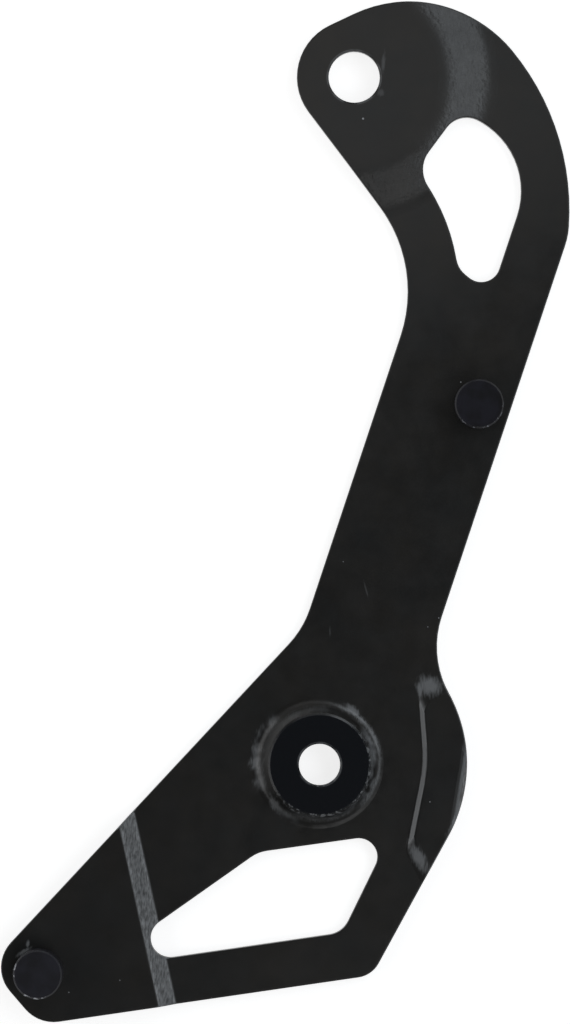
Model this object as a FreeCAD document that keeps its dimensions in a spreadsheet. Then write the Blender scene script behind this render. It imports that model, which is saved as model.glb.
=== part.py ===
import FreeCAD, Part
import math
import os
import re
import Sketcher

# Inner guide plate of a bicycle rear derailleur's cage, with its two chain pins.
# Frame: the tension pulley's axle is the Z axis and the guide pulley's axle stands
# on +Y. The faces that the two pulleys seat on lie in Z = 0, and the chain runs above.
# The sheet's flat back, on the wheel side, is the lowest face.

# Driving dimensions, in millimetres and degrees
SIZES = (
    ("axle_spacing", 90.0, "tension axle to guide axle"),
    ("sheet_thickness", 1.6, "steel sheet"),
    ("seat_rise", 1.8, "pulley seats above the sheet's chain face"),
    ("edge_round", 0.2, "rounding of the sheet's edges on the chain side"),
    ("guide_bore", 6.7, "diameter of the guide axle's bore"),
    ("tension_bore", 5.4, "diameter of the tension axle's bore"),
    # ear round the guide axle, and the dish that lifts it
    ("ear_radius", 7.5, "outline round the guide axle"),
    ("ear_top_lean", 28.2, "edge from the ear up to the crown, from level"),
    ("ear_side_lean", 50.0, "edge from the ear down to the throat, from level"),
    ("dish_face_radius", 12.3, "lifted face round the guide axle"),
    ("dish_foot_radius", 17.7, "foot of the dish's slope"),
    ("dish_bend", 7.9, "soft bends of the dish"),
    # head, above the neck
    ("crown_height", 10.3, "top of the plate above the guide axle"),
    ("crown_radius", 17.35, "outline at the top"),
    ("back_radius", 32.8, "outline down the front of the head"),
    ("shoulder_radius", 9.75, "outline where the head meets the neck"),
    ("shoulder_drop", 17.9, "that outline's centre below the guide axle"),
    # neck
    ("neck_width", 16.75, "across the neck"),
    ("neck_front", 9.13, "neck's front edge from the tension axle"),
    ("neck_head", 33.18, "neck's front edge from the guide axle"),
    ("throat_radius", 18.5, "hollow between ear and neck"),
    ("heel_radius", 12.7, "hollow between neck and tail"),
    # tail
    ("tail_slope", 49.9, "tail's upper edge from level"),
    ("tail_edge", 13.66, "tail's upper edge from the tension axle"),
    ("tip_slope", 46.5, "short end of the tail from level"),
    ("tip_margin", 4.5, "short end from the lower pin"),
    ("tip_radius", 4.75, "corner above the short end"),
    ("tip_base_radius", 4.9, "corner below the short end"),
    ("base_slope", 11.15, "bottom edge from level"),
    ("base_margin", 6.8, "bottom edge from the lower pin"),
    ("toe_radius", 3.6, "corner at the front of the bottom edge"),
    ("tail_rise", 1.6, "stepped tail above the sheet's chain face"),
    ("step_lean", 15.15, "step's line from the line of axles"),
    ("step_foot", 25.0, "foot of the step from the tension axle"),
    ("step_run", 2.3, "plan width of the step's slope"),
    ("step_bend", 0.5, "bends of the step"),
    # boss round the tension axle
    ("boss_face_radius", 6.67, "lifted face round the tension axle"),
    ("boss_foot_radius", 7.78, "foot of the boss"),
    ("boss_foot_back", 0.38, "foot's centre behind the tension axle"),
    ("boss_foot_up", 0.24, "foot's centre above the tension axle"),
    ("boss_flare", 1.5, "hollow round the foot, on the chain side"),
    ("boss_rim_edge", 0.2, "broken edge of the lifted face's rim"),
    # raised lip in front of the tension pulley
    ("front_slope", 64.2, "edge below the lip from level"),
    ("lip_radius", 19.35, "outline round the tension axle"),
    ("lip_hollow", 12.5, "hollow between lip and neck"),
    ("lip_rise", 0.5, "raised lip above the sheet's chain face"),
    ("lip_corner", 2.5, "corners where the crease meets the ramps, in plan"),
    ("lip_bend", 0.5, "bends of the crease and the ramps"),
    ("rim_bevel", 0.78, "bevel's line inside the lip's outline"),
    ("rim_bevel_lean", 6.4, "bevel from the line of axles"),
    ("rim_bevel_slope", 50.0, "bevel from level"),
    ("rim_bevel_bend", 1.0, "bend between the lip and its bevel"),
    ("lip_crease", 13.95, "corner of the lip's crease from the line of axles"),
    ("crease_height", 0.7, "corner of the lip's crease above the tension axle"),
    ("crease_radius", 20.0, "rounding of that corner"),
    ("crease_run", 0.62, "plan width of the crease's slope"),
    ("crease_upper_lean", 7.3, "crease above its corner, from the line of axles"),
    ("crease_lower_lean", 8.4, "crease below its corner, from the line of axles"),
    ("ramp_run", 1.7, "plan width of the ramps at the lip's two ends"),
    ("upper_ramp_height", 11.6, "upper ramp above the tension axle"),
    ("upper_ramp_lean", 14.0, "upper ramp from level"),
    ("lower_ramp_drop", 10.2, "lower ramp below the tension axle"),
    ("lower_ramp_slope", 61.0, "lower ramp from level"),
    ("ramp_reach", 12.5, "where both ramps leave the crease, from the line of axles"),
    # window below the tension pulley
    ("base_bar", 6.1, "bar between the window and the bottom edge"),
    ("front_bar", 6.93, "bar between the window and the lip's circle"),
    ("low_window_front_slope", 66.8, "window's front edge from level"),
    ("low_window_top", 10.32, "window's top edge from the tension axle"),
    ("low_window_top_slope", 10.85, "window's top edge from level"),
    ("low_window_back", 4.81, "window's slanted edge from the tension axle"),
    ("low_window_back_slope", 38.1, "window's slanted edge from level"),
    ("low_window_knee", 4.75, "corner between the top and slanted edges"),
    ("low_window_end", 2.55, "round end towards the tail"),
    ("low_window_toe", 3.2, "corner between the bottom and front edges"),
    ("low_window_front_corner", 2.45, "corner between the front and top edges"),
    # window in the head
    ("throat_rim", 6.74, "rim between the window and the throat"),
    ("head_window_reach", 9.53, "window's front edge from the neck's back edge"),
    ("head_window_height", 19.59, "window's top above the corner of ear and neck"),
    ("head_window_side", 8.32, "window's short side from that corner"),
    ("head_window_side_slope", 56.3, "window's short side from level"),
    ("head_window_foot", 2.45, "window's bottom edge from that corner"),
    ("head_window_foot_slope", 36.0, "window's bottom edge from level"),
    ("head_window_top_radius", 3.3, "round top"),
    ("head_window_side_radius", 3.83, "corner below the short side"),
    ("head_window_low_radius", 3.3, "corner between the rim and the bottom edge"),
    ("head_window_foot_radius", 2.5, "corner between the bottom and front edges"),
    ("head_window_front_radius", 10.4, "round front"),
    # chain pins
    ("pin_diameter", 6.4, "shank that the chain bears on"),
    ("pin_height", 5.0, "shank above the sheet"),
    ("pin_edge", 0.2, "chamfer of the shank's end"),
    ("tenon_diameter", 4.0, "riveted end in the sheet"),
    ("rivet_depth", 0.5, "flush conical head of the riveted end"),
    ("upper_pin_drop", 41.9, "upper pin below the guide axle"),
    ("upper_pin_margin", 4.25, "upper pin from the neck's front edge"),
    ("lower_pin_reach", 44.9, "lower pin along the tail from the tension axle"),
    ("lower_pin_margin", 5.33, "lower pin from the tail's upper edge"),
)

LEFT, RIGHT = 1, -1
UP = FreeCAD.Vector(0, 0, 1)

doc = FreeCAD.newDocument("derailleur_chain_guide")
sheet = doc.addObject("Spreadsheet::Sheet", "Sizes")
for row, (name, size, meaning) in enumerate(SIZES, 1):
    sheet.set(f"A{row}", meaning)
    sheet.set(f"B{row}", str(size))
    sheet.setAlias(f"B{row}", name)
doc.recompute()


def bound(formula):
    """The formula with each size's name, a word with an underscore, read from the sheet."""
    return re.sub(r"[a-z]+(_[a-z]+)+", lambda found: "Sizes." + found.group(), formula)


def value(formula):
    """What the formula comes to now."""
    result = sheet.evalExpression(bound(formula))
    return float(getattr(result, "Value", result))


class Spot:
    """A point that a sketch measures from, held by formulas across and up."""

    def __init__(self, across, up):
        self.across = across
        self.up = up
        self.place = FreeCAD.Vector(value(across), value(up), 0)


NECK_LEAN = "asin((neck_head - neck_front) / axle_spacing)"
TENSION_AXLE = Spot("0", "0")
GUIDE_AXLE = Spot("0", "axle_spacing")
UPPER_PIN = Spot(
    f"(neck_front - upper_pin_margin) / cos({NECK_LEAN})"
    f" + (axle_spacing - upper_pin_drop) * tan({NECK_LEAN})",
    "axle_spacing - upper_pin_drop",
)
LOWER_PIN = Spot(
    "(lower_pin_margin - tail_edge) * sin(tail_slope) - lower_pin_reach * cos(tail_slope)",
    "(tail_edge - lower_pin_margin) * cos(tail_slope) - lower_pin_reach * sin(tail_slope)",
)


def throat_spot(radius):
    """The centre of a round between the ear's side edge and the neck's back edge."""
    to_ear = f"(axle_spacing * cos(ear_side_lean) - ear_radius - {radius})"
    to_neck = f"(neck_front - neck_width - {radius})"
    turn = f"cos(ear_side_lean * 1 deg - {NECK_LEAN})"
    return Spot(
        f"({to_ear} * sin({NECK_LEAN}) + {to_neck} * cos(ear_side_lean)) / {turn}",
        f"({to_ear} * cos({NECK_LEAN}) - {to_neck} * sin(ear_side_lean)) / {turn}",
    )


THROAT = throat_spot("throat_radius")
THROAT_CORNER = throat_spot("0")


class Edge:
    """A straight edge. It has a heading in degrees and a spot at a distance on its left,
    or goes through two spots. One that is tangent to a held arc needs no distance held."""

    def __init__(self, heading="0", left="0", about=TENSION_AXLE, held=True, through=None):
        self.heading = heading
        self.left = left
        self.about = about
        self.held = held
        self.through = through
        if through:
            self.along = (through[1].place - through[0].place).normalize()
        else:
            angle = math.radians(value(heading))
            self.along = FreeCAD.Vector(math.cos(angle), math.sin(angle), 0)
        self.side = FreeCAD.Vector(-self.along.y, self.along.x, 0)
        self.base = through[0].place if through else about.place - self.side * value(left)

    def beside(self, gap):
        """The line at a distance on the left of the edge."""
        base = self.base + self.side * gap
        return Part.Line(base, base + self.along)

    def curve(self, start, end):
        return Part.LineSegment(start, end)

    def ends(self):
        return 1, 2


class Arc:
    """An arc that turns left or right. Its centre is a spot, or is held up by a formula,
    or follows from the edges and arcs that it touches."""

    def __init__(self, radius, turn, centre, spot=None, up=None):
        self.radius = radius
        self.turn = turn
        self.centre = centre
        self.spot = spot
        self.up = up
        self.signed = turn * value(radius)

    def beside(self, gap):
        """The circle at a distance on the left of the arc."""
        return Part.Circle(self.centre, UP, abs(self.signed - gap))

    def curve(self, start, end):
        first, last = (start, end) if self.turn == LEFT else (end, start)
        spokes = [point - self.centre for point in (first, last)]
        angles = [math.atan2(spoke.y, spoke.x) for spoke in spokes]
        if angles[1] <= angles[0]:
            angles[1] += 2 * math.pi
        return Part.ArcOfCircle(Part.Circle(self.centre, UP, abs(self.signed)), *angles)

    def ends(self):
        return (1, 2) if self.turn == LEFT else (2, 1)


def round_spot(radius, turn, spot):
    """An arc centred on a spot."""
    return Arc(radius, turn, spot.place, spot=spot)


def crossings(first, second):
    return [FreeCAD.Vector(point.X, point.Y, 0) for point in first.intersect(second)]


def blend(before, after, radius, turn, towards=FreeCAD.Vector(0, 0, 0)):
    """The arc that touches two neighbours; of two such arcs, the one further towards a side."""
    gap = turn * value(radius)
    centres = crossings(before.beside(gap), after.beside(gap))
    return Arc(radius, turn, max(centres, key=towards.dot))


def slide(edge, radius, turn, up):
    """The arc that touches an edge and has its centre at a height."""
    track = edge.beside(turn * value(radius))
    base = FreeCAD.Vector(0, value(up), 0)
    level = Part.Line(base, base + FreeCAD.Vector(1, 0, 0))
    return Arc(radius, turn, crossings(track, level)[0], up=up)


def joint(before, after):
    """Where two neighbours meet: the touching point, or the corner of two edges."""
    if isinstance(before, Arc) and isinstance(after, Arc):
        share = before.signed / (before.signed - after.signed)
        return before.centre + (after.centre - before.centre) * share
    if isinstance(before, Edge) and isinstance(after, Edge):
        return crossings(before.beside(0), after.beside(0))[0]
    edge, arc = (before, after) if isinstance(before, Edge) else (after, before)
    return edge.base + edge.along * (arc.centre - edge.base).dot(edge.along)


class Rules:
    """The constraints of one sketch, each bound to its formula."""

    def __init__(self, sketch):
        self.sketch = sketch
        self.spots = {}

    def add(self, kind, *terms, formula=None):
        if formula is None:
            self.sketch.addConstraint(Sketcher.Constraint(kind, *terms))
            return
        size = value(formula)
        if kind == "Angle":
            size = math.radians(size)
        number = self.sketch.addConstraint(Sketcher.Constraint(kind, *terms, size))
        self.sketch.setExpression(f"Constraints[{number}]", bound(formula))

    def hold(self, kind, point, formula):
        """Hold a point across (DistanceX) or up (DistanceY) from the sketch's origin."""
        size = value(formula)
        if abs(size) < 1e-9:
            self.add("PointOnObject", *point, -2 if kind == "DistanceX" else -1)
        elif size > 0:
            self.add(kind, -1, 1, *point, formula=formula)
        else:
            self.add(kind, *point, -1, 1, formula=f"-({formula})")

    def spot(self, spot):
        """The sketch's point for a spot, drawn the first time that it is asked for."""
        if spot.place.Length < 1e-9:
            return -1, 1
        if spot not in self.spots:
            number = self.sketch.addGeometry(Part.Point(spot.place), True)
            self.spots[spot] = (number, 1)
            self.hold("DistanceX", (number, 1), spot.across)
            self.hold("DistanceY", (number, 1), spot.up)
        return self.spots[spot]

    def edge(self, number, edge):
        if edge.through:
            for spot in edge.through:
                self.add("PointOnObject", *self.spot(spot), number)
            return
        quarters = value(edge.heading) / 90
        if abs(quarters - round(quarters)) < 1e-9:
            self.add("Vertical" if round(quarters) % 2 else "Horizontal", number)
        else:
            self.add("Angle", number, formula=edge.heading)
        if not edge.held:
            return
        distance = value(edge.left)
        if abs(distance) < 1e-9:
            self.add("PointOnObject", *self.spot(edge.about), number)
        else:
            formula = edge.left if distance > 0 else f"-({edge.left})"
            self.add("Distance", *self.spot(edge.about), number, formula=formula)

    def arc(self, number, arc):
        self.add("Radius", number, formula=arc.radius)
        if arc.spot:
            self.add("Coincident", number, 3, *self.spot(arc.spot))
        if arc.up:
            self.hold("DistanceY", (number, 3), arc.up)


def draw(sketch, loop):
    """Draw a closed loop, anticlockwise, and constrain it."""
    rules = Rules(sketch)
    corners = [joint(loop[place - 1], loop[place]) for place in range(len(loop))]
    pieces = zip(loop, corners, corners[1:] + corners[:1])
    numbers = [sketch.addGeometry(piece.curve(start, end)) for piece, start, end in pieces]
    for place, (number, piece) in enumerate(zip(numbers, loop)):
        both_straight = isinstance(piece, Edge) and isinstance(loop[place - 1], Edge)
        kind = "Coincident" if both_straight else "Tangent"
        rules.add(kind, numbers[place - 1], loop[place - 1].ends()[1], number, piece.ends()[0])
    for number, piece in zip(numbers, loop):
        if isinstance(piece, Edge):
            rules.edge(number, piece)
        else:
            rules.arc(number, piece)


def draw_round(sketch, diameter, spot):
    """Draw a circle centred on a spot."""
    rules = Rules(sketch)
    circle = Part.Circle(spot.place, UP, value(diameter) / 2)
    number = sketch.addGeometry(circle)
    rules.add("Diameter", number, formula=diameter)
    rules.add("Coincident", number, 3, *rules.spot(spot))


def new_sketch(body, name, plane="XY_Plane", lift=None, back=None, turn=None):
    """A sketch on one of the body's origin planes, lifted, set back or turned by formulas."""
    sketch = body.newObject("Sketcher::SketchObject", name)
    support = next(each for each in body.Origin.OriginFeatures if each.Role == plane)
    sketch.AttachmentSupport = [(support, "")]
    sketch.MapMode = "FlatFace"
    if lift:
        sketch.setExpression("AttachmentOffset.Base.z", bound(lift))
    if back:
        sketch.setExpression("AttachmentOffset.Base.z", bound(f"-({back})"))
    if turn:
        sketch.AttachmentOffset = FreeCAD.Placement(
            FreeCAD.Vector(), FreeCAD.Rotation(FreeCAD.Vector(0, 1, 0), value(turn))
        )
        sketch.setExpression("AttachmentOffset.Rotation.Angle", bound(turn))
    return sketch


def feature(body, kind, name, sketch):
    made = body.newObject(f"PartDesign::{kind}", name)
    made.Profile = sketch
    sketch.Visibility = False
    return made


def cut_through(body, name, sketch):
    """Cut the sketch down through the whole sheet, and make sure that it cut something."""
    doc.recompute()
    before = body.Tip.Shape.Volume
    pocket = feature(body, "Pocket", name, sketch)
    pocket.Type = "ThroughAll"
    doc.recompute()
    if not pocket.Shape.Volume < before:
        raise RuntimeError(f"{name} cut nothing")


def turned(body, name, sketch):
    """Turn the sketch once round its own upright axis."""
    made = feature(body, "Revolution", name, sketch)
    made.ReferenceAxis = (sketch, ["V_Axis"])


def stepped_section(near, face, foot, far, high, bend):
    """The sheet's section where it drops from a lifted face down to its main level."""
    fall = f"({high} + seat_rise)"
    shift = f"sheet_thickness * tan(atan({fall} / (({foot}) - ({face}))) / 2)"
    low = "-seat_rise"
    brow, toe = Spot(face, high), Spot(foot, low)
    under_brow = Spot(f"{face} - {shift}", f"{high} - sheet_thickness")
    under_toe = Spot(f"{foot} - {shift}", f"{low} - sheet_thickness")
    under_high = Edge("0", f"sheet_thickness - ({high})")
    under_slope = Edge(through=(under_brow, under_toe))
    under_low = Edge("0", "sheet_thickness + seat_rise")
    far_end = Edge("90", far)
    top_low = Edge("180", low)
    slope = Edge(through=(toe, brow))
    top_high = Edge("180", high)
    near_end = Edge("270", f"-({near})")
    return (
        under_high,
        blend(under_high, under_slope, bend, RIGHT),
        under_slope,
        blend(under_slope, under_low, bend, LEFT),
        under_low,
        far_end,
        top_low,
        blend(top_low, slope, bend, RIGHT),
        slope,
        blend(slope, top_high, bend, LEFT),
        top_high,
        near_end,
    )


def outline():
    """The plate's outer edge, from the ear down the back, along the bottom and up the front."""
    ear = round_spot("ear_radius", LEFT, GUIDE_AXLE)
    ear_side = Edge("360 - ear_side_lean", "ear_radius", GUIDE_AXLE, held=False)
    neck_back = Edge(f"270 deg - {NECK_LEAN}", "neck_width - neck_front")
    tail_top = Edge("180 + tail_slope", "tail_edge")
    tip = Edge("360 - tip_slope", "tip_margin", LOWER_PIN)
    base = Edge("base_slope", "base_margin", LOWER_PIN)
    front = Edge("front_slope", "lip_radius", held=False)
    lip = round_spot("lip_radius", LEFT, TENSION_AXLE)
    neck_front = Edge(f"90 deg - {NECK_LEAN}", "neck_front")
    ear_top = Edge("180 + ear_top_lean", "ear_radius", GUIDE_AXLE, held=False)
    shoulder = slide(neck_front, "shoulder_radius", LEFT, up="axle_spacing - shoulder_drop")
    crown = slide(ear_top, "crown_radius", LEFT, up="axle_spacing + crown_height - crown_radius")
    return (
        ear,
        ear_side,
        blend(ear_side, neck_back, "throat_radius", RIGHT),
        neck_back,
        blend(neck_back, tail_top, "heel_radius", RIGHT),
        tail_top,
        blend(tail_top, tip, "tip_radius", LEFT),
        tip,
        blend(tip, base, "tip_base_radius", LEFT),
        base,
        blend(base, front, "toe_radius", LEFT),
        front,
        lip,
        blend(lip, neck_front, "lip_hollow", RIGHT, FreeCAD.Vector(0, 1, 0)),
        neck_front,
        shoulder,
        blend(shoulder, crown, "back_radius", LEFT, FreeCAD.Vector(-1, 0, 0)),
        crown,
        ear_top,
    )


def low_window():
    """The window below the tension pulley."""
    top = Edge("180 + low_window_top_slope", "-low_window_top")
    back = Edge("180 + low_window_back_slope", "-low_window_back")
    bottom = Edge("base_slope", "base_margin - base_bar", LOWER_PIN)
    front = Edge("low_window_front_slope", "lip_radius - front_bar")
    return (
        top,
        blend(top, back, "low_window_knee", LEFT),
        back,
        blend(back, bottom, "low_window_end", LEFT),
        bottom,
        blend(bottom, front, "low_window_toe", LEFT),
        front,
        blend(front, top, "low_window_front_corner", LEFT),
    )


def head_window():
    """The window in the head, with one side that follows the throat."""
    side = Edge("180 + head_window_side_slope", "head_window_side", THROAT_CORNER)
    rim = round_spot("throat_radius + throat_rim", RIGHT, THROAT)
    foot = Edge("360 - head_window_foot_slope", "-head_window_foot", THROAT_CORNER)
    front = Edge(f"90 deg - {NECK_LEAN}", "head_window_reach", THROAT_CORNER)
    top_height = f"{THROAT_CORNER.up} + head_window_height - head_window_top_radius"
    top = slide(side, "head_window_top_radius", LEFT, up=top_height)
    return (
        top,
        side,
        blend(side, rim, "head_window_side_radius", LEFT, FreeCAD.Vector(0, 1, 0)),
        rim,
        blend(rim, foot, "head_window_low_radius", LEFT, FreeCAD.Vector(1, 0, 0)),
        foot,
        blend(foot, front, "head_window_foot_radius", LEFT),
        front,
        blend(front, top, "head_window_front_radius", LEFT, FreeCAD.Vector(0, -1, 0)),
    )


def lip_edge(inset):
    """The lip's border, half a slope outside its crease and ramps (-1) or inside them (1)."""
    corner = Spot("lip_crease", "crease_height")
    head = Spot("ramp_reach", "upper_ramp_height")
    foot = Spot("ramp_reach", "-lower_ramp_drop")
    crease_gap = f"{-inset} * crease_run / 2"
    ramp_gap = f"{-inset} * ramp_run / 2"
    upper_crease = Edge("270 + crease_upper_lean", crease_gap, corner)
    lower_crease = Edge("270 - crease_lower_lean", crease_gap, corner)
    lower_ramp = Edge("360 - lower_ramp_slope", ramp_gap, foot)
    upper_ramp = Edge("180 - upper_ramp_lean", ramp_gap, head)
    return (
        upper_crease,
        blend(upper_crease, lower_crease, "crease_radius", RIGHT),
        lower_crease,
        blend(lower_crease, lower_ramp, "lip_corner", LEFT),
        lower_ramp,
        Edge("90", "lip_radius + ramp_run"),
        upper_ramp,
        blend(upper_ramp, upper_crease, "lip_corner", LEFT),
    )


def loft(body, kind, name, low, high):
    """Add or cut the straight-sided body between two sketches."""
    made = feature(body, kind, name, low)
    made.Sections = [high]
    made.Ruled = True
    high.Visibility = False


def raise_lip(body):
    """Press the lip up out of the sheet: one loft added above it and one cut below it."""
    levels = (("AdditiveLoft", "lip_face", "-seat_rise"),
              ("SubtractiveLoft", "lip_back", "-seat_rise - sheet_thickness"))
    for kind, name, level in levels:
        border = new_sketch(body, f"{name}_border", lift=level)
        draw(border, lip_edge(-1))
        flat = new_sketch(body, f"{name}_flat", lift=f"{level} + lip_rise")
        draw(flat, lip_edge(1))
        loft(body, kind, name, border, flat)


def bevel_rim(body):
    """Cut a straight bevel, with a soft bend, across the lip's outer edge."""
    level = "lip_rise - seat_rise"
    section = new_sketch(body, "rim_bevel_section", "XZ_Plane", turn="-rim_bevel_lean")
    face = Edge("0", f"-({level})")
    slope = Edge("360 - rim_bevel_slope", "0", Spot("lip_radius - rim_bevel", level))
    draw(section, (
        face,
        blend(face, slope, "rim_bevel_bend", RIGHT),
        slope,
        Edge("90", "lip_radius + rim_bevel_bend"),
        Edge("180", f"{level} + rim_bevel_bend"),
        Edge("270", "rim_bevel + rim_bevel_bend - lip_radius"),
    ))
    bevel = feature(body, "Pocket", "rim_bevel_cut", section)
    bevel.SideType = "Symmetric"
    bevel.setExpression("Length", bound("lip_radius"))


def raise_boss(body):
    """Draw the tension pulley's seat up out of the sheet, with a recess under it."""
    foot = Spot("-boss_foot_back", "boss_foot_up")
    wall = "sheet_thickness * tan(atan(seat_rise / (boss_foot_radius - boss_face_radius)) / 2)"
    levels = (("AdditiveLoft", "boss", "0", "0"),
              ("SubtractiveLoft", "boss_recess", wall, "sheet_thickness"))
    for kind, name, inset, depth in levels:
        low = new_sketch(body, f"{name}_foot", lift=f"-seat_rise - {depth}")
        draw_round(low, f"2 * (boss_foot_radius - {inset})", foot)
        high = new_sketch(body, f"{name}_face", lift=f"-({depth})")
        draw_round(high, f"2 * (boss_face_radius - {inset})", TENSION_AXLE)
        loft(body, kind, name, low, high)
    dress(body, "Fillet", "boss_foot_flare", "Radius", "boss_flare", is_boss_foot)
    dress(body, "Chamfer", "boss_rim", "Size", "boss_rim_edge", is_boss_rim)


def lift_seat(body, name, axle, face, foot, bend):
    """Replace a disc of the sheet by one that rises to a pulley's seat."""
    reach = f"{foot} + {bend}"
    opening = new_sketch(body, f"{name}_opening")
    draw_round(opening, f"2 * ({reach})", axle)
    cut_through(body, f"{name}_blank", opening)
    section = new_sketch(body, f"{name}_section", "XZ_Plane", back=axle.up)
    draw(section, stepped_section("0", face, foot, reach, "0", bend))
    turned(body, name, section)


def drill(body, name, holes):
    """Cut round holes, each given as its diameter and its spot."""
    circles = new_sketch(body, f"{name}_circles")
    for diameter, spot in holes:
        draw_round(circles, diameter, spot)
    cut_through(body, name, circles)


def edges_where(shape, wanted):
    """Names of the edges that suit, given each edge and the tilts of its two faces."""
    names = []
    for number, edge in enumerate(shape.Edges, 1):
        middle = edge.valueAt((edge.FirstParameter + edge.LastParameter) / 2)
        faces = shape.ancestorsOfType(edge, Part.Face)
        tilts = [face.normalAt(*face.Surface.parameter(middle)).z for face in faces]
        if len(tilts) == 2 and wanted(edge, tilts):
            names.append(f"Edge{number}")
    return names


def is_tenon_hole(edge):
    """True for the rim of a pin's hole."""
    radius = value("tenon_diameter / 2")
    return isinstance(edge.Curve, Part.Circle) and abs(edge.Curve.Radius - radius) < 1e-6


def is_lip_bend(edge, tilts):
    """True where the lip's slopes meet its flat or the sheet, on the chain side."""
    beside_boss = edge.BoundBox.Center.x > value("boss_foot_radius + boss_flare")
    return beside_boss and max(tilts) > 0.999 and 0.3 < min(tilts) < 0.999


def is_boss_foot(edge, tilts):
    """True where the boss's wall meets the sheet, on the chain side."""
    return is_level_ring(edge, "-seat_rise") and max(tilts) > 0.999 and min(tilts) > 0.1


def is_boss_rim(edge, tilts):
    """True where the boss's wall meets its lifted face."""
    return is_level_ring(edge, "0") and max(tilts) > 0.999 and min(tilts) > 0.1


def is_level_ring(edge, level):
    """True for a closed edge round the tension axle at that level."""
    near = edge.BoundBox.Center.x ** 2 + edge.BoundBox.Center.y ** 2 < value("boss_foot_radius ^ 2")
    at_level = max(abs(height - value(level)) for height in (edge.BoundBox.ZMin, edge.BoundBox.ZMax)) < 1e-3
    return near and at_level and edge.isClosed()


def is_bore_rim(edge, tilts):
    """True where an axle's bore opens on its pulley seat."""
    return edge.isClosed() and abs(edge.BoundBox.ZMin) < 1e-3 and max(tilts) > 0.999 and min(tilts) < 0.1


def is_rivet_edge(edge, tilts):
    """True where a pin's hole meets the wheel side."""
    return is_tenon_hole(edge) and min(tilts) < -0.9


def is_chain_side_edge(edge, tilts):
    """True where an upright cut face meets the chain side."""
    return min(map(abs, tilts)) < 1e-6 and max(tilts) > 0.3


def dress(body, kind, name, size, formula, wanted):
    """Fillet or chamfer the edges that suit."""
    doc.recompute()
    base = body.Tip
    made = body.newObject(f"PartDesign::{kind}", name)
    made.Base = (base, edges_where(base.Shape, wanted))
    made.setExpression(size, bound(formula))
    doc.recompute()


def make_plate():
    body = doc.addObject("PartDesign::Body", "guide_plate")
    section = new_sketch(body, "tail_section", "XZ_Plane", turn="step_lean")
    high = "tail_rise - seat_rise"
    foot = "-step_foot"
    draw(section, stepped_section("-2 * lower_pin_reach", f"{foot} - step_run", foot,
                                  "axle_spacing", high, "step_bend"))
    blank = feature(body, "Pad", "stepped_blank", section)
    blank.SideType = "Symmetric"
    blank.setExpression("Length", bound("3 * axle_spacing"))
    lift_seat(body, "guide_dish", GUIDE_AXLE, "dish_face_radius", "dish_foot_radius", "dish_bend")
    raise_boss(body)
    raise_lip(body)
    trim = new_sketch(body, "outline")
    frame = "2 * axle_spacing"
    draw(trim, [Edge(heading, frame) for heading in ("0", "90", "180", "270")])
    draw(trim, outline())
    cut_through(body, "outline_cut", trim)
    dress(body, "Fillet", "lip_bends", "Radius", "lip_bend", is_lip_bend)
    bevel_rim(body)
    for name, loop in (("low_window", low_window()), ("head_window", head_window())):
        window = new_sketch(body, f"{name}_outline")
        draw(window, loop)
        cut_through(body, name, window)
    dress(body, "Fillet", "chain_side_edges", "Radius", "edge_round", is_chain_side_edge)
    drill(body, "axle_bores", (("guide_bore", GUIDE_AXLE), ("tension_bore", TENSION_AXLE)))
    dress(body, "Chamfer", "bore_rims", "Size", "edge_round", is_bore_rim)
    drill(body, "pin_holes", (("tenon_diameter", UPPER_PIN), ("tenon_diameter", LOWER_PIN)))
    dress(body, "Chamfer", "rivet_seats", "Size", "rivet_depth", is_rivet_edge)
    return body


def make_pin(name, spot, level):
    """A turned pin: shank with a chamfered end, shoulder on the sheet, riveted tenon through it."""
    body = doc.addObject("PartDesign::Body", name)
    section = new_sketch(body, f"{name}_section", "XZ_Plane")
    rivet_top = Spot("tenon_diameter / 2", "rivet_depth - sheet_thickness")
    shank_end = Spot("pin_diameter / 2", "pin_height - pin_edge")
    draw(section, (
        Edge("0", "sheet_thickness"),
        Edge("135", "0", rivet_top),
        Edge("90", "tenon_diameter / 2"),
        Edge("0", "0"),
        Edge("90", "pin_diameter / 2"),
        Edge("135", "0", shank_end),
        Edge("180", "pin_height"),
        Edge("270", "0"),
    ))
    turned(body, f"{name}_turning", section)
    for axis, formula in (("x", spot.across), ("y", spot.up), ("z", level)):
        body.setExpression(f"Placement.Base.{axis}", bound(formula))
    return body


parts = (
    make_plate(),
    make_pin("chain_pin_upper", UPPER_PIN, "-seat_rise"),
    make_pin("chain_pin_lower", LOWER_PIN, "tail_rise - seat_rise"),
)
doc.recompute()
for each in doc.Objects:
    if "Invalid" in each.State or "Error" in each.State:
        raise RuntimeError(f"{each.Name} failed: {each.getStatusString()}")
for part in parts:
    if part.Shape.isNull() or not part.Shape.isValid() or len(part.Shape.Solids) != 1:
        raise RuntimeError(f"{part.Label} is not one valid solid")
os.makedirs("parts", exist_ok=True)
for part in parts:
    part.Shape.exportStep(f"parts/{part.Label}.step")
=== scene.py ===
import math
import bpy
from mathutils import Matrix, Vector


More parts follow.
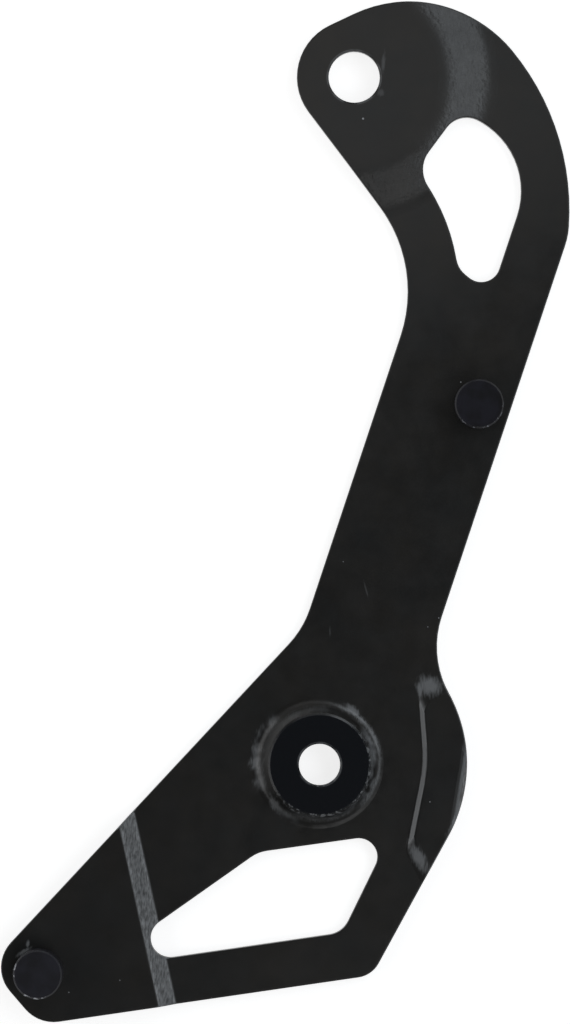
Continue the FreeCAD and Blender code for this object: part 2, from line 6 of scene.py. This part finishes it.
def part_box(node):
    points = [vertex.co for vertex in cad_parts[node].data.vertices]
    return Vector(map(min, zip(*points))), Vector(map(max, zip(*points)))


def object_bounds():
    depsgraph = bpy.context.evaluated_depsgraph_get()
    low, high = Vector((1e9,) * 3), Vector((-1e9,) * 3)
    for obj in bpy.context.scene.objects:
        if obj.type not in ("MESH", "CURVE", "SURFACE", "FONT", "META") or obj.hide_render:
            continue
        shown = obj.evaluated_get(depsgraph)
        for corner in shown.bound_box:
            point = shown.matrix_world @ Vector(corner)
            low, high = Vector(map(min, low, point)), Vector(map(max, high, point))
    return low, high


# Inner guide plate of a rear derailleur's cage, seen from the chain side, lying on a white table.
# Metres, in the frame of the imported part: the tension pulley's axle is the Z axis, the guide
# pulley's axle stands on +Y, and the chain side faces +Z.

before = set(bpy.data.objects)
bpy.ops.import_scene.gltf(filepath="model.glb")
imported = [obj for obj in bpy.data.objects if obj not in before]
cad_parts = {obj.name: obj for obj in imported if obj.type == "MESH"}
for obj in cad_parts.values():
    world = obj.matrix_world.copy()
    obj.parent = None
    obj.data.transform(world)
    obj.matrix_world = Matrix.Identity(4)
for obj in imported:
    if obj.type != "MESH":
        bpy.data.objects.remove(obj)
cad_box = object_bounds()

MM = 0.001
WHITE = "#ffffff"

# The photograph: straight down on the chain side with a long lens
IMAGE_HEIGHT = 1024
PIXELS_PER_MM = 7.6427
AIM_MM = (-6.17, 32.75, -0.9)
CAMERA_HEIGHT_MM = 900.0
CAMERA_TURN_DEG = 2.89
SENSOR_HEIGHT_MM = 36.0
NEAREST_SEEN_MM = 10.0
FURTHEST_SEEN_MM = 20000.0

# The table under the plate
TABLE_SIDE_MM = 4000.0
TABLE_GAP_MM = 0.02
TABLE_GREY = "#b4b4b4"
TABLE_GLOW = 0.8

# The studio round it, bright at the horizon and dim from a height of 0.75 on a sphere of radius 1
HORIZON_LIGHT = 0.35
CEILING_LIGHT = 0.098
CEILING_HEIGHT = 0.75

# Soft lamps: name, place, width and height, radiance, colour, the point faced and turn in degrees
LAMPS_MM = (
    ("left_softbox", (-496, 33, 249), (800, 340), 1.2, WHITE, AIM_MM, 0.0),
    ("right_softbox", (339, 138, 414), (1000, 230), 2.05, "#f2f9ff", AIM_MM, 0.0),
    ("head_softbox", (-13, 98, 60), (90, 82), 0.42, WHITE, (-13, 98, 0), 30.0),
    ("front_softbox", (110, -190, 420), (200, 230), 1.1, WHITE, AIM_MM, 0.0),
)

# Colours of the paint: two blacks in clouds, the coined face of the boss, which is darker and bluer partly
# as a painted reflection, the greys where the paint is drawn thin or rubbed, which also carry painted
# highlights, and the grey of specks
WARM_BLACK = "#1a1815"
COLD_BLACK = "#0f1112"
COINED_AND_REFLECTION_BLACK = "#04080f"
THIN_PAINT_AND_HIGHLIGHT_GREY = "#8a8c8e"
RUBBED_AND_HIGHLIGHT_GREY = "#686a6c"
SPECK_GREY = "#8e9094"

# Gloss of the paint, from its smoothest to its dullest blotches, on the coined face and on the step
PAINT_IOR = 1.5
SMOOTH_ROUGHNESS = 0.28
DULL_ROUGHNESS = 0.37
COINED_ROUGHNESS = 0.2
STEP_ROUGHNESS = 0.5

# Relief of the paint: dents round the boss, puckers on the dish's slope, orange peel all over
DENT_DEPTH_MM = 0.07
PUCKER_DEPTH_MM = 0.06
PEEL_DEPTH_MM = 0.012
PEEL_STRENGTH = 0.6

# Streaks in thin paint and in the rubbed greys and painted highlights: their size across the plate, up it
# and through it, and how much they fray the edges of the sloping places
STREAK_MM = (0.22, 0.8, 0.8)
STREAKS_ON_SLOPES = 0.05

# The step in the tail, measured from the tension pulley's axle: its lean, and its middle, half width and
# fade. Then, off that middle, where the stronger grain and painted highlight of its two bends starts and is
# full, and how strong the grain and painted highlight are between the bends and on them
STEP_LEAN_DEG = 15.15
STEP_MM = (26.15, 1.5, 0.1)
STEP_BEND_START_MM = 0.6
STEP_BEND_END_MM = 0.9
STEP_GRAIN_AND_HIGHLIGHT = 0.92
STEP_BEND_HIGHLIGHT = 1.25

# The slope of the dish, measured from the guide pulley's axle: its middle, half width and fade; then
# how far forward its faint grain starts and is full, and how strong that is
GUIDE_AXLE_UP_MM = 90.0
DISH_MM = (15.0, 2.6, 0.8)
DISH_GRAIN_START_MM = 5.0
DISH_GRAIN_FULL_MM = 13.0
DISH_GRAIN = 0.1

# Bores with worn rims that also carry a painted highlight: across, up, radius, and how deep the wear and
# painted highlight go. Then how far out they are full and where they end
BORES_MM = (
    (0.0, 0.0, 2.7, 0.6),
    (0.0, GUIDE_AXLE_UP_MM, 3.35, 0.5),
)
BORE_WEAR_AND_GLINT_FULL_MM = 0.2
BORE_WEAR_AND_GLINT_END_MM = 0.32

# Painted highlight arcs round the tension pulley's axle, six on the boss's slope and one on the rim of the
# lip:
# azimuth and half span in degrees, radius, half width and depth
PAINTED_HIGHLIGHT_ARCS = (
    (42.0, 29.0, 7.95, 0.5, 0.8),
    (170.0, 29.0, 8.4, 0.95, 1.0),
    (213.0, 32.0, 7.95, 0.8, 0.6),
    (105.0, 29.0, 7.2, 0.65, 0.25),
    (0.0, 38.0, 7.2, 0.75, 1.0),
    (-70.0, 42.0, 7.1, 0.6, 0.35),
    (-9.0, 11.0, 19.1, 0.36, 1.0),
)
ARC_FADE_DEG = 9.0
ARC_FRAY_MM = 1.2

# The side of the boss's rim where painted highlight beads glint, as an azimuth
GLINTING_SIDE_OF_BOSS_DEG = -50.0

# Spots of rubbed grey paint that also serve as painted highlights: across, up, half length, half width,
# lean
# in degrees and depth. In turn: three at the ends of the lip, one on the boss's foot, two by the guide
# bore, two by the lower pin, and two scratches on the neck. A spot ends outside its half widths and is full
# at a quarter of them.
RUBBED_AND_HIGHLIGHT_SPOTS = (
    (13.85, 10.98, 1.9, 1.5, -11.0, 1.0),
    (12.66, 10.4, 1.5, 0.42, -85.0, 1.0),
    (13.6, -11.6, 2.5, 1.0, -59.0, 1.0),
    (4.0, 7.25, 1.4, 0.65, -35.0, 1.0),
    (3.71, 92.07, 1.6, 0.28, 88.0, 0.32),
    (3.59, 88.1, 0.55, 0.55, 0.0, 0.26),
    (-36.9, -25.3, 0.6, 0.28, 80.0, 1.0),
    (-37.42, -26.43, 1.3, 0.36, 33.0, 0.9),
    (4.92, 23.23, 1.3, 0.13, -72.0, 0.25),
    (0.5, 17.37, 0.75, 0.12, 93.0, 0.25),
)
SPOT_END = 1.15
SPOT_FULL = 0.25

# Specks of dust in the paint: across, up and radius. The inner half of each is full
SPECKS_MM = (
    (1.43, 84.62, 0.16),
    (15.97, 50.9, 0.11),
    (16.13, 47.77, 0.11),
    (-24.65, -29.49, 0.1),
    (-31.23, -31.4, 0.1),
    (14.69, -4.19, 0.1),
    (14.65, 19.91, 0.1),
    (13.27, 18.67, 0.08),
    (1.78, 26.64, 0.07),
)
SPECK_CORE = 0.5

# The two pins, the darker and the lighter colour of their oxide, that of the painted highlight beads on
# their edge, and the side where those beads glint
PINS = (
    # Painted shade: the upper pin's oxide is set darker than the lower pin's because of how light falls on
    # it, not a different finish
    ("chain_pin_upper", "#131316", "#1c1c23", "#6c6e74", (0.35, -0.94, 0.0)),
    ("chain_pin_lower", "#1f1f23", "#27272e", "#b4b6bc", (-0.8, -0.6, 0.0)),
)
OXIDE_IOR = 1.5
OXIDE_SPECULAR = 0.3
OXIDE_ROUGHNESS = 0.3
OXIDE_CLOUD_MM = 2.2
WORN_BEAD_MM = 0.45
RING_MM = 0.4
RING_WAVER = 0.6
RING_DEPTH_MM = 0.006
RING_STRENGTH = 0.25

# The wave texture turns through 20 radians in each unit of its scale
WAVE_RADIANS = 20

# Sockets of the Mix node, whose inputs for numbers and for colours have the same names
NUMBER_A = 2
NUMBER_B = 3
COLOUR_A = 6
COLOUR_B = 7
COLOUR_OUT = 2


def linear(hex_colour):
    """An sRGB hex colour as linear RGBA."""
    parts = [int(hex_colour[place:place + 2], 16) / 255 for place in (1, 3, 5)]
    return [part / 12.92 if part <= 0.04045 else ((part + 0.055) / 1.055) ** 2.4 for part in parts] + [1.0]


def per_metre(size_mm):
    """The texture scale whose pattern repeats about once in that many millimetres."""
    return 1 / (size_mm * MM)


def towards(azimuth_deg):
    """The direction in plan at an azimuth, which runs from +X to +Y."""
    azimuth = math.radians(azimuth_deg)
    return math.cos(azimuth), math.sin(azimuth), 0.0


def add_node(tree, kind, inputs=None, **settings):
    """Add a node, give it its settings, and set or link its inputs."""
    node = tree.nodes.new(kind)
    for name, setting in settings.items():
        setattr(node, name, setting)
    for name, value in (inputs or {}).items():
        if isinstance(value, bpy.types.NodeSocket):
            tree.links.new(value, node.inputs[name])
        else:
            node.inputs[name].default_value = value
    return node


def new_material(name):
    """An empty material with its output node, and the Object coordinates that its patterns read."""
    material = bpy.data.materials.new(name)
    material.use_nodes = True
    tree = material.node_tree
    tree.nodes.clear()
    output = add_node(tree, "ShaderNodeOutputMaterial")
    place = add_node(tree, "ShaderNodeTexCoord").outputs["Object"]
    return material, tree, output, place


def satin_black_paint():
    """Baked satin black paint on pressed steel sheet. It gives the eye a near-black, slightly warm
    surface that shines softly, in faint clouds and a fine orange peel. The face of the boss is coined,
    so the paint lies smoother there, and its darker, bluer colour is partly a painted reflection of the
    dark camera overhead; round it the sheet is left uneven. The press has drawn the paint thin on the
    step, which shows as grey grain that also carries a painted highlight, brightest as painted lines at
    its two bends. The chain has rubbed the lip grey along its crease, and bolts and chain have worn the
    boss and the rims of the bores; these greys, the beads on the boss's rim and the arcs on its slope
    also carry painted highlights."""
    material, tree, output, place = new_material("satin_black_paint")

    # Where a point lies: how level it is, its place in plan, and its distance from the tension pulley's
    # axle, from the guide pulley's axle and along the tail
    level = add_node(tree, "ShaderNodeSeparateXYZ", {"Vector": place.node.outputs["Normal"]}).outputs["Z"]
    across = add_node(tree, "ShaderNodeSeparateXYZ", {"Vector": place}).outputs["X"]
    plan = add_node(tree, "ShaderNodeVectorMath", {0: place, 1: (1.0, 1.0, 0.0)},
                    operation="MULTIPLY").outputs["Vector"]
    radius = add_node(tree, "ShaderNodeVectorMath", {0: plan}, operation="LENGTH").outputs["Value"]
    outwards = add_node(tree, "ShaderNodeVectorMath", {0: plan}, operation="NORMALIZE").outputs["Vector"]
    towards_glinting_side = add_node(tree, "ShaderNodeVectorMath", {0: outwards, 1: towards(GLINTING_SIDE_OF_BOSS_DEG)},
                            operation="DOT_PRODUCT").outputs["Value"]
    from_guide = add_node(tree, "ShaderNodeVectorMath", {0: plan, 1: (0.0, GUIDE_AXLE_UP_MM * MM, 0.0)},
                          operation="DISTANCE").outputs["Value"]
    tail_turned = add_node(tree, "ShaderNodeMapping", {
        "Vector": plan, "Rotation": (0.0, 0.0, math.radians(180 - STEP_LEAN_DEG))}).outputs["Vector"]
    along_tail = add_node(tree, "ShaderNodeSeparateXYZ", {"Vector": tail_turned}).outputs["X"]

    # Patterns: size in millimetres, detail and roughness
    pattern = {}
    for name, size_mm, detail, roughness in (
            ("clouds", 11.0, 6.0, 0.7),
            ("blotches", 4.0, 3.0, 0.6),
            ("dents", 2.0, 1.0, 0.5),
            ("beads", 0.55, 1.0, 0.5),
            ("peel", 0.4, 4.0, 0.65)):
        pattern[name] = add_node(tree, "ShaderNodeTexNoise", {
            "Vector": place, "Scale": per_metre(size_mm), "Detail": detail,
            "Roughness": roughness}).outputs["Fac"]
    stretched = add_node(tree, "ShaderNodeMapping", {
        "Vector": place, "Scale": [per_metre(size_mm) for size_mm in STREAK_MM]}).outputs["Vector"]
    streaks = add_node(tree, "ShaderNodeTexNoise", {
        "Vector": stretched, "Scale": 1.0, "Detail": 2.0}).outputs["Fac"]
    frayed = add_node(tree, "ShaderNodeMath", {0: streaks, 1: -0.5}, operation="ADD").outputs[0]
    streaked_level = add_node(tree, "ShaderNodeMath", {0: streaks, 1: STREAKS_ON_SLOPES, 2: level},
                              operation="MULTIPLY_ADD").outputs[0]

    # Masks from 0 to 1: what each reads, where it is 0 and where it is 1
    mask = {}
    for name, reading, empty, full in (
            ("cloudy", pattern["clouds"], 0.3, 0.7),
            ("blotchy", pattern["blotches"], 0.3, 0.7),
            ("patchy", pattern["dents"], 0.36, 0.56),
            ("beaded", pattern["beads"], 0.52, 0.62),
            ("thin_paint", streaks, 0.2, 0.8),
            ("sloping", streaked_level, 0.98, 0.87),
            ("not_steep", level, 0.68, 0.8),
            ("chain_side", level, 0.0, 0.2),
            ("glinting_side", towards_glinting_side, -0.3, 0.25),
            ("lip", across, 10.8 * MM, 11.4 * MM),
            ("inside_lip_rim", radius, 20.4 * MM, 20.0 * MM),
            ("coined_face", radius, 6.71 * MM, 6.65 * MM),
            ("boss", radius, 7.1 * MM, 6.9 * MM),
            ("boss_and_foot", radius, 9.6 * MM, 8.8 * MM)):
        mask[name] = add_node(tree, "ShaderNodeMapRange", {
            "Value": reading, "From Min": empty, "From Max": full}).outputs["Result"]
    uneven = add_node(tree, "ShaderNodeMath", {0: mask["boss_and_foot"], 1: mask["coined_face"]},
                      operation="SUBTRACT").outputs[0]

    # Where the paint is rubbed and where highlights are painted in: the crease of the lip, glinting beads
    # on the rim of the boss, bores, arcs and spots
    rubbed_and_highlit_places = [
        (mask["sloping"], mask["not_steep"], mask["lip"], mask["inside_lip_rim"]),
        (mask["sloping"], mask["boss"], mask["beaded"], mask["glinting_side"]),
    ]
    for bore_across, bore_up, bore_radius, depth in BORES_MM:
        from_axis = add_node(tree, "ShaderNodeVectorMath", {
            0: plan, 1: (bore_across * MM, bore_up * MM, 0.0)}, operation="DISTANCE").outputs["Value"]
        bore_rim = add_node(tree, "ShaderNodeMapRange", {
            "Value": from_axis, "From Min": (bore_radius + BORE_WEAR_AND_GLINT_END_MM) * MM,
            "From Max": (bore_radius + BORE_WEAR_AND_GLINT_FULL_MM) * MM, "To Max": depth}).outputs["Result"]
        rubbed_and_highlit_places.append((bore_rim, mask["patchy"]))
    for azimuth, half_span, arc_radius, half_width, depth in PAINTED_HIGHLIGHT_ARCS:
        facing = add_node(tree, "ShaderNodeVectorMath", {0: outwards, 1: towards(azimuth)},
                          operation="DOT_PRODUCT").outputs["Value"]
        along_arc = add_node(tree, "ShaderNodeMapRange", {
            "Value": facing, "From Min": math.cos(math.radians(half_span + ARC_FADE_DEG)),
            "From Max": math.cos(math.radians(half_span - ARC_FADE_DEG)),
            "To Max": depth}).outputs["Result"]
        off_arc = add_node(tree, "ShaderNodeMath", {0: radius, 1: -arc_radius * MM},
                           operation="ADD").outputs[0]
        beside_arc = add_node(tree, "ShaderNodeMath", {0: off_arc}, operation="ABSOLUTE").outputs[0]
        edge = add_node(tree, "ShaderNodeMath", {0: frayed, 1: ARC_FRAY_MM * MM, 2: beside_arc},
                        operation="MULTIPLY_ADD").outputs[0]
        on_arc = add_node(tree, "ShaderNodeMapRange", {
            "Value": edge, "From Min": half_width * MM, "From Max": 0.0},
            interpolation_type="SMOOTHSTEP").outputs["Result"]
        rubbed_and_highlit_places.append((along_arc, on_arc, mask["patchy"]))
    for spot_across, spot_up, half_length, half_width, lean, depth in RUBBED_AND_HIGHLIGHT_SPOTS:
        laid = add_node(tree, "ShaderNodeMapping", {
            "Vector": plan, "Location": (spot_across * MM, spot_up * MM, 0.0),
            "Rotation": (0.0, 0.0, math.radians(lean)),
            "Scale": (half_length * MM, half_width * MM, 1.0)}, vector_type="TEXTURE").outputs["Vector"]
        away = add_node(tree, "ShaderNodeVectorMath", {0: laid}, operation="LENGTH").outputs["Value"]
        edge = add_node(tree, "ShaderNodeMath", {0: away, 1: frayed}, operation="ADD").outputs[0]
        spot = add_node(tree, "ShaderNodeMapRange", {
            "Value": edge, "From Min": SPOT_END, "From Max": SPOT_FULL, "To Max": depth},
            interpolation_type="SMOOTHSTEP").outputs["Result"]
        rubbed_and_highlit_places.append((spot,))
    rubbed_and_highlit = 0.0
    for first, *others in rubbed_and_highlit_places:
        wear_and_glint = first
        for other in others:
            wear_and_glint = add_node(tree, "ShaderNodeMath", {0: wear_and_glint, 1: other}, operation="MULTIPLY").outputs[0]
        rubbed_and_highlit = add_node(tree, "ShaderNodeMath", {0: rubbed_and_highlit, 1: wear_and_glint}, operation="MAXIMUM").outputs[0]

    # Thin paint with a painted highlight: lighter grey grain plain to see on the step, brightest as painted
    # highlight lines at its two bends, and faint on the front of the dish's slope
    off_middle = {}
    slope = {}
    for name, distance, (middle, half_width, fade) in (
            ("step", along_tail, STEP_MM),
            ("dish", from_guide, DISH_MM)):
        past_middle = add_node(tree, "ShaderNodeMath", {0: distance, 1: -middle * MM},
                               operation="ADD").outputs[0]
        off_middle[name] = add_node(tree, "ShaderNodeMath", {0: past_middle},
                                    operation="ABSOLUTE").outputs[0]
        slope[name] = add_node(tree, "ShaderNodeMapRange", {
            "Value": off_middle[name], "From Min": (half_width + fade) * MM,
            "From Max": (half_width - fade) * MM}, interpolation_type="SMOOTHSTEP").outputs["Result"]
    on_step = add_node(tree, "ShaderNodeMath", {0: slope["step"], 1: mask["sloping"]},
                       operation="MULTIPLY").outputs[0]
    grain_and_bend_highlights = add_node(tree, "ShaderNodeMapRange", {
        "Value": off_middle["step"], "From Min": STEP_BEND_START_MM * MM, "From Max": STEP_BEND_END_MM * MM,
        "To Min": STEP_GRAIN_AND_HIGHLIGHT, "To Max": STEP_BEND_HIGHLIGHT}).outputs["Result"]
    step_grain_and_highlight = add_node(tree, "ShaderNodeMath", {0: on_step, 1: grain_and_bend_highlights},
                          operation="MULTIPLY").outputs[0]
    dish_front = add_node(tree, "ShaderNodeMapRange", {
        "Value": across, "From Min": DISH_GRAIN_START_MM * MM, "From Max": DISH_GRAIN_FULL_MM * MM,
        "To Max": DISH_GRAIN}).outputs["Result"]
    dish_grain = add_node(tree, "ShaderNodeMath", {0: slope["dish"], 1: dish_front},
                          operation="MULTIPLY").outputs[0]
    thin_paint_and_highlight = add_node(tree, "ShaderNodeMath", {0: step_grain_and_highlight, 1: dish_grain}, operation="MAXIMUM").outputs[0]
    thin_paint_and_highlight = add_node(tree, "ShaderNodeMath", {0: thin_paint_and_highlight, 1: mask["thin_paint"]},
                     operation="MULTIPLY").outputs[0]

    # Only the chain side is worn, shows thin paint and gets the painted highlights
    rubbed_and_highlit = add_node(tree, "ShaderNodeMath", {0: rubbed_and_highlit, 1: mask["chain_side"]},
                      operation="MULTIPLY").outputs[0]
    thin_paint_and_highlight = add_node(tree, "ShaderNodeMath", {0: thin_paint_and_highlight, 1: mask["chain_side"]},
                     operation="MULTIPLY").outputs[0]

    # Colour: a warm black, and what covers it in turn
    covers = [
        (mask["cloudy"], COLD_BLACK),
        # Partly painted reflection: the coined face's darker, bluer black stands in for the dark camera
        # reflected overhead
        (mask["coined_face"], COINED_AND_REFLECTION_BLACK),
        # Partly painted highlight: the thin-paint grey lightens the step and its bends where a lamp's
        # reflection would fall
        (thin_paint_and_highlight, THIN_PAINT_AND_HIGHLIGHT_GREY),
        # Wear and painted highlight: the rubbed grey lightens the lip's crease, bore rims, spots and arcs
        # as reflections would
        (rubbed_and_highlit, RUBBED_AND_HIGHLIGHT_GREY),
    ]
    for speck_across, speck_up, size in SPECKS_MM:
        away = add_node(tree, "ShaderNodeVectorMath", {
            0: plan, 1: (speck_across * MM, speck_up * MM, 0.0)}, operation="DISTANCE").outputs["Value"]
        speck = add_node(tree, "ShaderNodeMapRange", {
            "Value": away, "From Min": size * MM, "From Max": SPECK_CORE * size * MM}).outputs["Result"]
        covers.append((speck, SPECK_GREY))
    colour = linear(WARM_BLACK)
    for cover, finish in covers:
        colour = add_node(tree, "ShaderNodeMix", {
            "Factor": cover, COLOUR_A: colour, COLOUR_B: linear(finish)},
            data_type="RGBA").outputs[COLOUR_OUT]

    # Gloss: smooth paint, and what dulls or polishes it in turn
    roughness = SMOOTH_ROUGHNESS
    for cover, finish in (
            (mask["blotchy"], DULL_ROUGHNESS),
            (mask["coined_face"], COINED_ROUGHNESS),
            (on_step, STEP_ROUGHNESS)):
        roughness = add_node(tree, "ShaderNodeMix", {
            "Factor": cover, NUMBER_A: roughness, NUMBER_B: finish}, data_type="FLOAT").outputs[0]

    # Relief, each layer on the one before
    relief = {}
    for height, strength, depth_mm in (
            (pattern["dents"], uneven, DENT_DEPTH_MM),
            (pattern["beads"], slope["dish"], PUCKER_DEPTH_MM),
            (pattern["peel"], PEEL_STRENGTH, PEEL_DEPTH_MM)):
        bump = add_node(tree, "ShaderNodeBump", {
            "Height": height, "Strength": strength, "Distance": depth_mm * MM, **relief})
        relief = {"Normal": bump.outputs["Normal"]}

    shader = add_node(tree, "ShaderNodeBsdfPrincipled", {
        "Base Color": colour, "Roughness": roughness, "IOR": PAINT_IOR, **relief})
    tree.links.new(shader.outputs["BSDF"], output.inputs["Surface"])
    return material


def black_oxide_steel(name, centre, dark, light, glint_grey, glint_towards):
    """Turned steel with a blue-black oxide finish. It gives the eye a smooth, cold near-black in faint
    blue clouds, with turning rings on the end and painted highlight beads glinting on one side of the edge.
    The rings are drawn coarser than a tool leaves them, because real ones would be finer than a pixel."""
    material, tree, output, place = new_material(name)
    level = add_node(tree, "ShaderNodeSeparateXYZ", {"Vector": place.node.outputs["Normal"]}).outputs["Z"]
    centred = add_node(tree, "ShaderNodeMapping", {
        "Vector": place, "Location": [-part for part in centre]}).outputs["Vector"]
    rings = add_node(tree, "ShaderNodeTexWave", {
        "Vector": centred, "Scale": per_metre(RING_MM) * math.tau / WAVE_RADIANS, "Distortion": RING_WAVER,
        "Detail": 2.0}, wave_type="RINGS", rings_direction="Z").outputs["Fac"]
    clouds = add_node(tree, "ShaderNodeTexNoise", {
        "Vector": place, "Scale": per_metre(OXIDE_CLOUD_MM), "Detail": 2.0}).outputs["Fac"]
    beads = add_node(tree, "ShaderNodeTexNoise", {
        "Vector": place, "Scale": per_metre(WORN_BEAD_MM), "Detail": 1.0}).outputs["Fac"]
    glinting_side = add_node(tree, "ShaderNodeVectorMath", {0: centred, 1: glint_towards},
                         operation="DOT_PRODUCT").outputs["Value"]

    # Masks from 0 to 1: what each reads, where it is 0 and where it is 1
    mask = {}
    for part, reading, empty, full in (
            ("cloudy", clouds, 0.35, 0.65),
            ("glinting_side", glinting_side, 0.3 * MM, 2.0 * MM),
            ("off_end", level, 0.95, 0.8),
            ("off_shank", level, 0.3, 0.5),
            ("beaded", beads, 0.56, 0.64)):
        mask[part] = add_node(tree, "ShaderNodeMapRange", {
            "Value": reading, "From Min": empty, "From Max": full}).outputs["Result"]
    wear_and_glint = mask["glinting_side"]
    for part in ("off_end", "off_shank", "beaded"):
        wear_and_glint = add_node(tree, "ShaderNodeMath", {0: wear_and_glint, 1: mask[part]}, operation="MULTIPLY").outputs[0]

    oxide = add_node(tree, "ShaderNodeMix", {
        "Factor": mask["cloudy"], COLOUR_A: linear(dark), COLOUR_B: linear(light)},
        data_type="RGBA").outputs[COLOUR_OUT]
    # Painted highlight: glinting beads on one side of the pin's edge
    colour = add_node(tree, "ShaderNodeMix", {"Factor": wear_and_glint, COLOUR_A: oxide, COLOUR_B: linear(glint_grey)},
                      data_type="RGBA").outputs[COLOUR_OUT]
    bump = add_node(tree, "ShaderNodeBump", {
        "Height": rings, "Strength": RING_STRENGTH, "Distance": RING_DEPTH_MM * MM})
    shader = add_node(tree, "ShaderNodeBsdfPrincipled", {
        "Base Color": colour, "Roughness": OXIDE_ROUGHNESS, "IOR": OXIDE_IOR,
        "Specular IOR Level": OXIDE_SPECULAR, "Normal": bump.outputs["Normal"]})
    tree.links.new(shader.outputs["BSDF"], output.inputs["Surface"])
    return material


def dress(node, material):
    """Give a CAD node its finish."""
    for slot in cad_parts[node].material_slots:
        slot.material = material


def pin_centre(node):
    """The point where a pin's axis meets the plane of the pulley seats."""
    low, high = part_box(node)
    middle = (low + high) / 2
    return middle.x, middle.y, 0.0


def white_table(level):
    """The table under the plate: it keeps the plate's shadow and looks white to the camera."""
    bpy.ops.mesh.primitive_plane_add(size=TABLE_SIDE_MM * MM, location=(0, 0, level))
    table = bpy.context.object
    table.name = "table"
    material, tree, output, _ = new_material("white_table_paper")
    rays = add_node(tree, "ShaderNodeLightPath").outputs
    seen = rays["Is Camera Ray"]
    for ray in ("Is Glossy Ray", "Is Transmission Ray"):
        seen = add_node(tree, "ShaderNodeMath", {0: seen, 1: rays[ray]}, operation="MAXIMUM").outputs[0]
    glow = add_node(tree, "ShaderNodeMath", {0: seen, 1: TABLE_GLOW}, operation="MULTIPLY").outputs[0]
    matt = add_node(tree, "ShaderNodeBsdfDiffuse", {"Color": linear(TABLE_GREY)})
    light = add_node(tree, "ShaderNodeEmission", {"Strength": glow})
    both = add_node(tree, "ShaderNodeAddShader", {0: matt.outputs[0], 1: light.outputs[0]})
    tree.links.new(both.outputs[0], output.inputs["Surface"])
    table.data.materials.append(material)


def softbox(name, place_mm, size_mm, radiance, colour, target_mm, turn_deg):
    """A soft rectangular lamp that faces a point."""
    width, height = (side * MM for side in size_mm)
    lamp = bpy.data.lights.new(name, "AREA")
    lamp.shape = "RECTANGLE"
    lamp.size = width
    lamp.size_y = height
    lamp.energy = radiance * math.pi * width * height
    lamp.color = linear(colour)[:3]
    holder = bpy.data.objects.new(name, lamp)
    holder.location = Vector(place_mm) * MM
    facing = (Vector(place_mm) - Vector(target_mm)).to_track_quat("Z", "Y").to_matrix()
    holder.rotation_euler = (facing @ Matrix.Rotation(math.radians(turn_deg), 3, "Z")).to_euler()
    holder.visible_camera = False
    bpy.context.scene.collection.objects.link(holder)


def studio_sky():
    """A dim ceiling over a bright, even horizon."""
    world = bpy.data.worlds.new("studio")
    world.use_nodes = True
    tree = world.node_tree
    tree.nodes.clear()
    direction = add_node(tree, "ShaderNodeTexCoord").outputs["Generated"]
    height = add_node(tree, "ShaderNodeSeparateXYZ", {"Vector": direction}).outputs["Z"]
    tone = add_node(tree, "ShaderNodeMapRange", {
        "Value": height, "From Min": 0.0, "From Max": CEILING_HEIGHT, "To Min": HORIZON_LIGHT,
        "To Max": CEILING_LIGHT}, interpolation_type="SMOOTHSTEP").outputs["Result"]
    sky = add_node(tree, "ShaderNodeBackground", {"Color": linear(WHITE), "Strength": tone})
    add_node(tree, "ShaderNodeOutputWorld", {"Surface": sky.outputs["Background"]})
    bpy.context.scene.world = world


def long_lens_camera():
    """The photograph's camera: high above the plate, looking straight down."""
    camera = bpy.data.cameras.new("camera")
    camera.sensor_fit = "VERTICAL"
    camera.sensor_height = SENSOR_HEIGHT_MM
    view_height_mm = IMAGE_HEIGHT / PIXELS_PER_MM
    camera.lens = SENSOR_HEIGHT_MM * CAMERA_HEIGHT_MM / view_height_mm
    camera.clip_start = NEAREST_SEEN_MM * MM
    camera.clip_end = FURTHEST_SEEN_MM * MM
    holder = bpy.data.objects.new("camera", camera)
    aim = Vector(AIM_MM) * MM
    turn = Matrix.Rotation(math.radians(CAMERA_TURN_DEG), 4, "Z")
    holder.matrix_world = Matrix.Translation(aim + Vector((0, 0, CAMERA_HEIGHT_MM * MM))) @ turn
    bpy.context.scene.collection.objects.link(holder)
    bpy.context.scene.camera = holder


dress("guide_plate", satin_black_paint())
for pin, dark, light, glint_grey, glint_towards in PINS:
    dress(pin, black_oxide_steel(f"black_oxide_{pin}", pin_centre(pin), dark, light, glint_grey, glint_towards))

white_table(cad_box[0].z - TABLE_GAP_MM * MM)
for lamp_row in LAMPS_MM:
    softbox(*lamp_row)
studio_sky()
long_lens_camera()
bpy.context.scene.view_settings.view_transform = "Standard"
